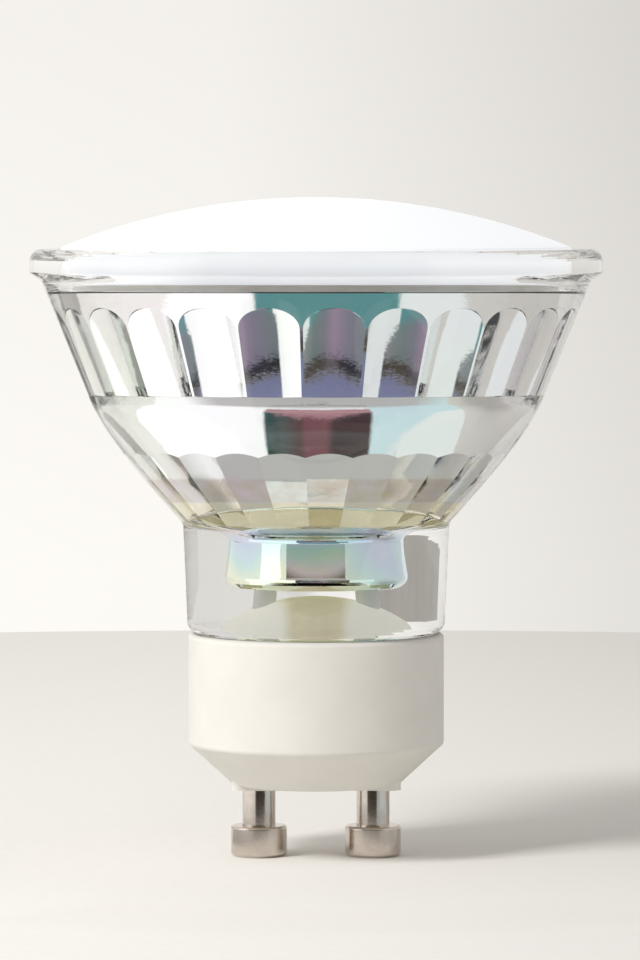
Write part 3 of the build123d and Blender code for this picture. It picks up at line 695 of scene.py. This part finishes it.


# Painted reflection: bands of colour by height on an upright card in front, which the neck shows
def painted_neck_reflection_colour(n):
    x, y, z = n.axes(n.place())
    return n.ramp(
        n.between(z, 0.0, 125 * MM),
        [
            (0.0, srgb(58, 48, 42)),
            (0.25, srgb(150, 150, 116)),
            (0.33, srgb(166, 176, 160)),
            (0.45, srgb(170, 176, 170)),
            (0.60, srgb(188, 172, 184)),
            (0.72, srgb(150, 136, 140)),
            (0.80, srgb(112, 100, 98)),
            (1.0, srgb(106, 94, 90)),
        ],
    )


painted_reflection_card(
    "neck_painted_reflection",
    [(-150, -140, 0.5), (145, -140, 0.5), (145, -140, 125), (-150, -140, 125)],
    painted_neck_reflection_colour,
)
# Painted reflection: a dark grey card behind the lamp on the left
painted_reflection_card(
    "left_painted_reflection",
    [(-190, 120, 0.5), (-60, 200, 0.5), (-60, 200, 28), (-190, 120, 28)],
    lambda n: n.mix(n.noise(60, 2.0, 0.5, n.place()), (0.30, 0.28, 0.26), (0.44, 0.41, 0.38)),
)
# Painted reflection: a near-black card low in front that darkens the middle of the pins
painted_reflection_card(
    "pin_painted_reflection",
    [(-15, -24, 0.3), (16, -24, 0.3), (16, -24, 5), (-15, -24, 5)],
    lambda n: n.mix(n.noise(300, 2.0, 0.5, n.place()), (0.02, 0.016, 0.012), (0.05, 0.04, 0.03)),
)

# World: a soft studio that is brighter on the left, in front of a pale wall with painted shade to the
# right and a painted glow low down behind the lamp
world = bpy.data.worlds.new("studio")
scene.world = world
world.use_nodes = True
n = Nodes(world.node_tree)
direction = n.axes(n.add("ShaderNodeTexCoord").outputs["Generated"])
# Painted shade: the wall darkens towards the right
backdrop_painted_shade = n.ramp(
    n.between(direction[0], -0.06, 0.06),
    [(0.0, srgb(245, 242, 237)), (0.35, srgb(243, 240, 235)), (1.0, srgb(217, 214, 209))],
)
# Painted glow: the wall brightens low down, near the floor's edge behind the lamp
painted_glow_low = n.between(direction[2], 0.032, -0.068)
backdrop_painted_shade = n.mix(n.math("MULTIPLY", painted_glow_low, 0.08), backdrop_painted_shade, (1.0, 1.0, 1.0), "ADD")
soft = n.ramp(
    n.between(direction[0], -1.0, 1.0),
    [(0.0, (0.75, 0.74, 0.72)), (0.5, (0.50, 0.49, 0.48)), (1.0, (0.60, 0.59, 0.575))],
)
fill = n.add("ShaderNodeBackground", {"Color": soft, "Strength": 1.0})
seen = n.add("ShaderNodeBackground", {"Color": backdrop_painted_shade, "Strength": 1.0})
ray = n.add("ShaderNodeLightPath").outputs
shown = n.math("MAXIMUM", ray["Is Camera Ray"], ray["Is Transmission Ray"])
shown = n.math("MAXIMUM", shown, ray["Is Glossy Ray"])
both = n.add("ShaderNodeMixShader", {0: shown, 1: fill.outputs[0], 2: seen.outputs[0]})
n.add("ShaderNodeOutputWorld", {"Surface": both.outputs[0]})


def area(name, azimuth, elevation, distance, size, power, glossy):
    """An area light that looks at the lamp. Azimuth 0 is in front, and + is to the right."""
    data = bpy.data.lights.new(name, "AREA")
    data.shape = "RECTANGLE"
    data.size, data.size_y = size
    data.energy = power
    light = bpy.data.objects.new(name, data)
    scene.collection.objects.link(light)
    a, e = math.radians(azimuth), math.radians(elevation)
    way = Vector((math.sin(a) * math.cos(e), -math.cos(a) * math.cos(e), math.sin(e)))
    light.location = Vector((0, 0, 30 * MM)) + way * distance
    light.rotation_euler = (-way).to_track_quat("-Z", "Y").to_euler()
    light.visible_glossy = glossy
    light.visible_transmission = glossy
    light.visible_camera = False


area("key", -48, 40, 0.9, (0.25, 0.25), 5.6, False)
area("side_left", -75, 25, 0.8, (0.5, 0.8), 0.6, True)
